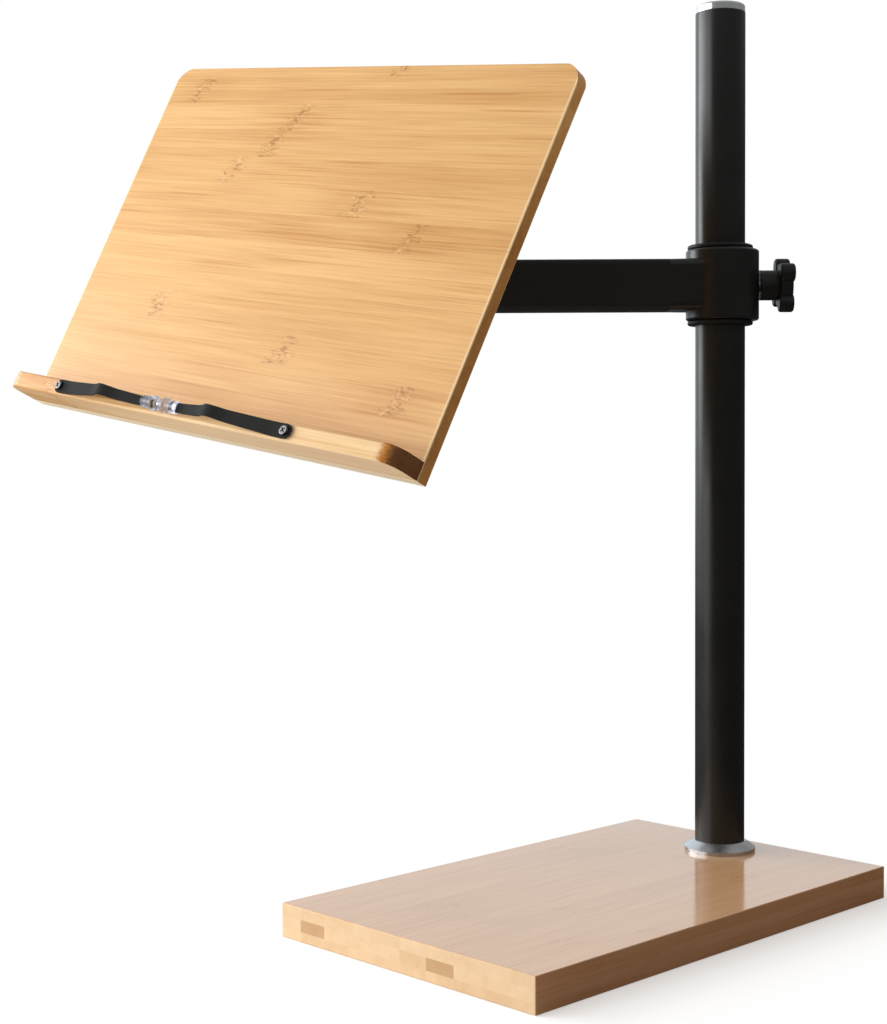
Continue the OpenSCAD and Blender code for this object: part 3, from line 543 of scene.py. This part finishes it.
def bamboo(tree, shader, vector, grain, strip, first_edge, ply, knuckles, ends=SQUARE_ON):
    """Bamboo with the grain along the vector's X and strips side by side along its Y; returns its two groups."""
    strips = node(tree, "Group", node_tree=STRIPS)
    for label, value in (("Vector", vector), ("Strip Width", strip), ("First Edge", first_edge),
                         ("Ply Depth", ply)):
        feed(tree, strips.inputs[label], value)
    wood = node(tree, "Group", node_tree=WOOD)
    feed(tree, wood.inputs["Vector"], vector)
    feed(tree, wood.inputs["Knuckle"], knuckles(tree, vector, strips))
    feed(tree, wood.inputs["End Grain"], end_grain(tree, vector, grain, ends))
    for label in ("Across", "Tone", "Chance"):
        feed(tree, wood.inputs[label], strips.outputs[label])
    skin(tree, shader, wood, strength=0.2, distance=0.0002)
    shader.inputs["Coat Roughness"].default_value = LACQUER_ROUGHNESS
    return strips, wood


def board_bamboo():
    """Strips across the board, each with its own tone and one knuckle, and a pale highlight painted along the
    edges.
    """
    made, tree, shader = material("board_bamboo")
    origin, (right, up, out) = board_axes()
    vector = piece_vector(tree, origin, (right, up, out))
    strips, wood = bamboo(tree, shader, vector, right, BOARD_STRIP, BOARD_FIRST_EDGE, BOARD_PLY, knuckle_by_strip)
    feed(tree, wood.inputs["Tone"], by_strip(tree, strips, BOARD_TONES))
    # Painted light: the board's ends turn paler towards its top, and their darker colour is partly painted shade
    higher = ramp(tree, split_up(tree, vector)["Y"], *BOARD_ENDS_CHANGE)
    feed(tree, wood.inputs["End Colour"], blend(tree, higher, BOARD_ENDS, BOARD_TOP_ENDS_PAINTED_LIGHT))
    corners = frame["nodes"]["reading_board"].data.vertices
    half_width = max((corner.co - origin).dot(right) for corner in corners) / MILLIMETRE
    # A pale highlight is painted along the board's rounded edges and on its front near the two ends
    front = ramp(tree, vector_calc(tree, "DOT_PRODUCT", face_normal(tree), out), *SQUARE_ON)
    rim = calc(tree, "MULTIPLY", front, painted_rim_highlight(tree, vector, half_width))
    edge_highlight = calc(tree, "MULTIPLY", calc(tree, "MAXIMUM", painted_edge_highlight(tree, out), rim), PAINTED_HIGHLIGHT_SHARE)
    colour = blend(tree, edge_highlight, wood.outputs["Color"], BAMBOO_PAINTED_HIGHLIGHT)
    # Painted light from below on the board's bottom edge
    feed(tree, shader.inputs["Base Color"], blend(tree, painted_underlight(tree, up, 1.0), colour, BOARD_PAINTED_UNDERLIGHT))
    shader.inputs["Specular IOR Level"].default_value = 0.3
    shader.inputs["Coat Weight"].default_value = 0.1
    return made


def ledge_bamboo():
    """A bar that pales to the right, with scorched ends and painted light from below on its underside."""
    made, tree, shader = material("ledge_bamboo")
    origin, (right, up, out) = board_axes()
    vector = piece_vector(tree, origin, (right, -out, up))
    _, wood = bamboo(tree, shader, vector, right, LEDGE_STRIP, LEDGE_FIRST_EDGE, LEDGE_PLY, knuckle_by_clip,
                     LEDGE_END_FACES)
    along = split_up(tree, vector)["X"]
    for label, value in (("Light", LEDGE_LIGHT), ("End Colour", LEDGE_ENDS),
                         ("Darkening", ramp(tree, along, *LEDGE_PALING, *LEDGE_DARKENING))):
        feed(tree, wood.inputs[label], value)
    scorched = end_grain(tree, vector, right, LEDGE_SCORCHED_FACES, SCORCH_FINENESS, SCORCH_UNEVENNESS)
    colour = blend(tree, scorched, wood.outputs["Color"], LEDGE_SCORCH, "MULTIPLY")
    # Painted light from below on the ledge's underside
    lit_below = painted_underlight(tree, up, ramp(tree, along, *LEDGE_PALING, *LEDGE_UNDERLIGHT_SHARE))
    feed(tree, shader.inputs["Base Color"], blend(tree, lit_below, colour, LEDGE_PAINTED_UNDERLIGHT))
    shader.inputs["Specular IOR Level"].default_value = 0.2
    return made


def base_bamboo():
    """Three plies with the grain from front to back, so that the front shows the ends of the strips."""
    made, tree, shader = material("base_bamboo")
    low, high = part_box("base_board")
    top = ((low.x + high.x) / 2, (low.y + high.y) / 2, high.z)
    back, right, down = Vector((0, 1, 0)), Vector((1, 0, 0)), Vector((0, 0, -1))
    vector = piece_vector(tree, top, (back, right, down))
    strips, wood = bamboo(tree, shader, vector, back, BASE_STRIP, BASE_FIRST_EDGE, BASE_PLY, knuckle_by_chance)
    # Painted light: the base's ends are made paler
    for label, value in (("Light", BASE_LIGHT), ("Dark", BASE_DARK), ("End Colour", BASE_ENDS_PAINTED_LIGHT),
                         ("Knuckle Strength", BASE_KNUCKLE_STRENGTH)):
        feed(tree, wood.inputs[label], value)
    middle = calc(tree, "COMPARE", strips.outputs["Ply"], BASE_DARK_PLY, SAME_NUMBER)
    first, second = (calc(tree, "COMPARE", strips.outputs["Strip"], number, SAME_NUMBER)
                     for number in BASE_DARK_STRIPS)
    dark_strip = calc(tree, "MULTIPLY", middle, calc(tree, "ADD", first, second))
    darker = calc(tree, "MULTIPLY", dark_strip, BASE_DARK_SHARE)
    stained = blend(tree, darker, wood.outputs["Color"], BAMBOO_KNUCKLE)
    facing = split_up(tree, face_normal(tree))
    # Painted shade: the base's long sides are made darker
    sides = ramp(tree, calc(tree, "ABSOLUTE", facing["X"]), *SQUARE_ON)
    feed(tree, shader.inputs["Base Color"], blend(tree, sides, stained, BASE_SIDES_PAINTED_SHADE, "MULTIPLY"))
    feed(tree, shader.inputs["Coat Weight"], ramp(tree, facing["Z"], *BASE_TOP_FACES, *BASE_LACQUER))
    shader.inputs["Specular IOR Level"].default_value = 0.0
    return made


# Metal and plastic finishes

def speckled(name, grain, dark, light, smooth, rough, strength=0.1, distance=0.0001):
    """A coated or moulded surface."""
    made, tree, shader = material(name)
    speckle = node(tree, "Group", node_tree=SPECKLE)
    for label, value in (("Vector", piece_vector(tree)), ("Grain", grain), ("Dark", (*dark, 1.0)),
                         ("Light", (*light, 1.0)), ("Smooth", smooth), ("Rough", rough)):
        feed(tree, speckle.inputs[label], value)
    skin(tree, shader, speckle, strength, distance)
    return made, shader


def black_paint():
    made, _ = speckled("black_paint", grain=0.5, dark=(0.009, 0.009, 0.0085), light=(0.014, 0.014, 0.013),
                       smooth=0.29, rough=0.36)
    return made


def arm_paint():
    made, shader = speckled("arm_paint", grain=0.5, dark=(0.016, 0.0165, 0.0165), light=(0.0225, 0.023, 0.023),
                            smooth=0.44, rough=0.54)
    shader.inputs["Specular IOR Level"].default_value = 0.15
    return made


def black_enamel():
    made, shader = speckled("black_enamel", grain=0.4, dark=(0.025, 0.026, 0.025), light=(0.033, 0.034, 0.033),
                            smooth=0.54, rough=0.64, strength=0.05)
    shader.inputs["Specular IOR Level"].default_value = 0.02
    return made


def black_plastic():
    made, shader = speckled("black_plastic", grain=0.35, dark=(0.010, 0.010, 0.009), light=(0.016, 0.016, 0.015),
                            smooth=0.42, rough=0.52, strength=0.2)
    shader.inputs["Specular IOR Level"].default_value = 0.35
    return made


def nylon():
    made, shader = speckled("nylon", grain=0.5, dark=(0.70, 0.69, 0.64), light=(0.80, 0.79, 0.75),
                            smooth=0.40, rough=0.55)
    shader.inputs["Subsurface Weight"].default_value = 0.1
    shader.inputs["Subsurface Radius"].default_value = (0.001, 0.001, 0.001)
    return made


def clear_plastic():
    made, shader = speckled("clear_plastic", grain=1.5, dark=(0.66, 0.70, 0.86), light=(0.78, 0.82, 0.94),
                            smooth=0.16, rough=0.26, strength=0.05)
    shader.inputs["Transmission Weight"].default_value = 1.0
    shader.inputs["IOR"].default_value = 1.38
    return made


def turned(name, origin, dark, light, smooth, rough):
    """Bare or plated metal, turned about an upright axis through an origin."""
    made, tree, shader = material(name)
    rings = node(tree, "Group", node_tree=TURNING)
    for label, value in (("Vector", piece_vector(tree, origin)), ("Dark", (*dark, 1.0)),
                         ("Light", (*light, 1.0)), ("Smooth", smooth), ("Rough", rough)):
        feed(tree, rings.inputs[label], value)
    skin(tree, shader, rings, strength=0.06, distance=0.00005)
    shader.inputs["Metallic"].default_value = 1.0
    return made


def middle_of(name):
    """The middle of a piece."""
    low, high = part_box(name)
    return (low + high) / 2


def chrome():
    return turned("chrome", middle_of("pole_tube"), dark=(0.66, 0.67, 0.68), light=(0.78, 0.79, 0.80),
                  smooth=0.14, rough=0.26)


def flange_chrome():
    return turned("flange_chrome", middle_of("pole_tube"), dark=(0.42, 0.42, 0.43), light=(0.54, 0.54, 0.55),
                  smooth=0.22, rough=0.32)


def zinc():
    return turned("zinc", (0, 0, 0), dark=(0.48, 0.49, 0.51), light=(0.64, 0.65, 0.67), smooth=0.22, rough=0.38)


def screw_steel():
    return turned("screw_steel", (0, 0, 0), dark=(0.10, 0.10, 0.105), light=(0.18, 0.18, 0.185),
                  smooth=0.24, rough=0.36)


def brass():
    return turned("brass", middle_of("clamp_pad"), dark=(0.60, 0.42, 0.16), light=(0.74, 0.54, 0.24),
                  smooth=0.2, rough=0.35)


FINISHES = {
    base_bamboo: ["base_board"],
    board_bamboo: ["reading_board"],
    ledge_bamboo: ["ledge"],
    black_paint: ["pole_tube", "collar", "arm_end_block", "swivel_fork", "tilt_block", "board_plate"],
    arm_paint: ["arm_tube"],
    black_enamel: ["left_clip", "right_clip"],
    black_plastic: ["upper_bush", "lower_bush", "clamp_knob", "tilt_knob"],
    chrome: ["pole_cap"],
    flange_chrome: ["foot_flange"],
    zinc: ["pole_plug", "pole_bolt", "pole_washer", "clamp_stud", "swivel_bolt", "swivel_nut", "tilt_bolt",
           "tilt_washers", "turntable_screw", "plate_screws", "ledge_screws"],
    screw_steel: ["left_clip_screw", "right_clip_screw"],
    nylon: ["swivel_washers", "turntable_washer", "clip_washers"],
    brass: ["clamp_pad"],
    clear_plastic: ["left_clip_tip", "right_clip_tip"],
}


def dress():
    """Gives every piece its finish."""
    for finish, names in FINISHES.items():
        made = finish()
        for name in names:
            slots = frame["nodes"][name].data.materials
            slots.clear()
            slots.append(made)


# Studio

def add_camera():
    """The camera, held level before it is rolled."""
    data = bpy.data.cameras.new("camera")
    data.lens = CAMERA_LENS
    camera = bpy.data.objects.new("camera", data)
    bpy.context.scene.collection.objects.link(camera)
    level = Matrix.Rotation(-CAMERA_YAW, 4, "Z") @ Matrix.Rotation(math.pi / 2 - CAMERA_PITCH, 4, "X")
    camera.matrix_world = Matrix.Translation(CAMERA_PLACE) @ level @ Matrix.Rotation(CAMERA_ROLL, 4, "Z")
    bpy.context.scene.camera = camera


def add_lamp(name, place, aim, size, power):
    """A soft lamp that faces its aim."""
    data = bpy.data.lights.new(name, "AREA")
    data.shape = "RECTANGLE"
    data.size, data.size_y = size
    data.energy = power
    lamp = bpy.data.objects.new(name, data)
    lamp.location = place
    lamp.rotation_euler = (Vector(aim) - Vector(place)).to_track_quat("-Z", "Y").to_euler()
    bpy.context.scene.collection.objects.link(lamp)


def mirrored_colour(tree, direction):
    """What a polished surface mirrors in a direction."""
    towards = vector_calc(tree, "NORMALIZE", direction)
    overhead = ramp(tree, split_up(tree, towards)["Z"], *CEILING_EDGE)
    room = blend(tree, overhead, SHADE_COLOUR, CEILING_COLOUR)
    wall = ramp(tree, vector_calc(tree, "DOT_PRODUCT", towards, WALL_SIDE), *WALL_SPREAD)
    return blend(tree, wall, room, WALL_COLOUR)


def add_world():
    """White for the camera and through clear plastic, the wall in polished surfaces, and a soft fill."""
    world = bpy.data.worlds.new("studio")
    world.use_nodes = True
    world.cycles.sampling_method = "NONE"
    bpy.context.scene.world = world
    tree = world.node_tree
    tree.nodes.clear()
    path = node(tree, "LightPath").outputs
    direction = node(tree, "TexCoord").outputs["Generated"]
    plain = calc(tree, "MAXIMUM", path["Is Camera Ray"], path["Is Transmission Ray"])
    seen = blend(tree, plain, mirrored_colour(tree, direction), WHITE)
    shown = node(tree, "Background", {"Color": seen, "Strength": 1.0}).outputs[0]
    level = ramp(tree, split_up(tree, direction)["Z"], *FILL_HEIGHTS, FILL_LEVEL, FILL_ABOVE)
    fill = node(tree, "Background", {"Color": FILL_COLOUR, "Strength": level}).outputs[0]
    share = calc(tree, "MAXIMUM", plain, path["Is Glossy Ray"])
    mixed = node(tree, "MixShader", {0: share, 1: fill, 2: shown}).outputs[0]
    node(tree, "OutputWorld", {"Surface": mixed})


def add_floor():
    """Pale floor that keeps the shadow and goes over into the white background."""
    mesh = bpy.data.meshes.new("floor")
    half = FLOOR_HALF
    corners = [(-half, -half, 0), (half, -half, 0), (half, half, 0), (-half, half, 0)]
    mesh.from_pydata(corners, [], [(0, 1, 2, 3)])
    floor = bpy.data.objects.new("floor", mesh)
    floor.location.z = -FLOOR_DROP
    bpy.context.scene.collection.objects.link(floor)
    made = bpy.data.materials.new("floor_paper")
    made.use_nodes = True
    tree = made.node_tree
    tree.nodes.clear()
    path = node(tree, "LightPath").outputs
    place = node(tree, "TexCoord").outputs["Object"]
    low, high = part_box("base_board")
    outside = vector_calc(tree, "SUBTRACT", vector_calc(tree, "ABSOLUTE", place), (high - low) / 2)
    past_base = vector_calc(tree, "LENGTH", vector_calc(tree, "MAXIMUM", outside, (0.0, 0.0, 0.0)))
    looked_at = calc(tree, "MAXIMUM", path["Is Camera Ray"], path["Is Transmission Ray"])
    whitened = ramp(tree, past_base, *FLOOR_FADE, FLOOR_WHITENING, 1.0)
    paper = node(tree, "BsdfDiffuse", {"Color": blend(tree, looked_at, FLOOR_COLOUR, FLOOR_SEEN)}).outputs[0]
    shown = blend(tree, looked_at, SHADE_COLOUR, WHITE)
    bright = node(tree, "Emission", {"Color": shown, "Strength": 1.0}).outputs[0]
    share = calc(tree, "MAXIMUM", calc(tree, "MULTIPLY", whitened, looked_at), path["Is Glossy Ray"])
    mixed = node(tree, "MixShader", {0: share, 1: paper, 2: bright}).outputs[0]
    node(tree, "OutputMaterial", {"Surface": mixed})
    mesh.materials.append(made)


dress()
add_camera()
add_lamp("window", WINDOW_PLACE, WINDOW_AIM, WINDOW_SIZE, WINDOW_POWER)
add_lamp("front", FRONT_PLACE, FRONT_AIM, FRONT_SIZE, FRONT_POWER)
add_world()
add_floor()
bpy.context.scene.view_settings.view_transform = "Standard"
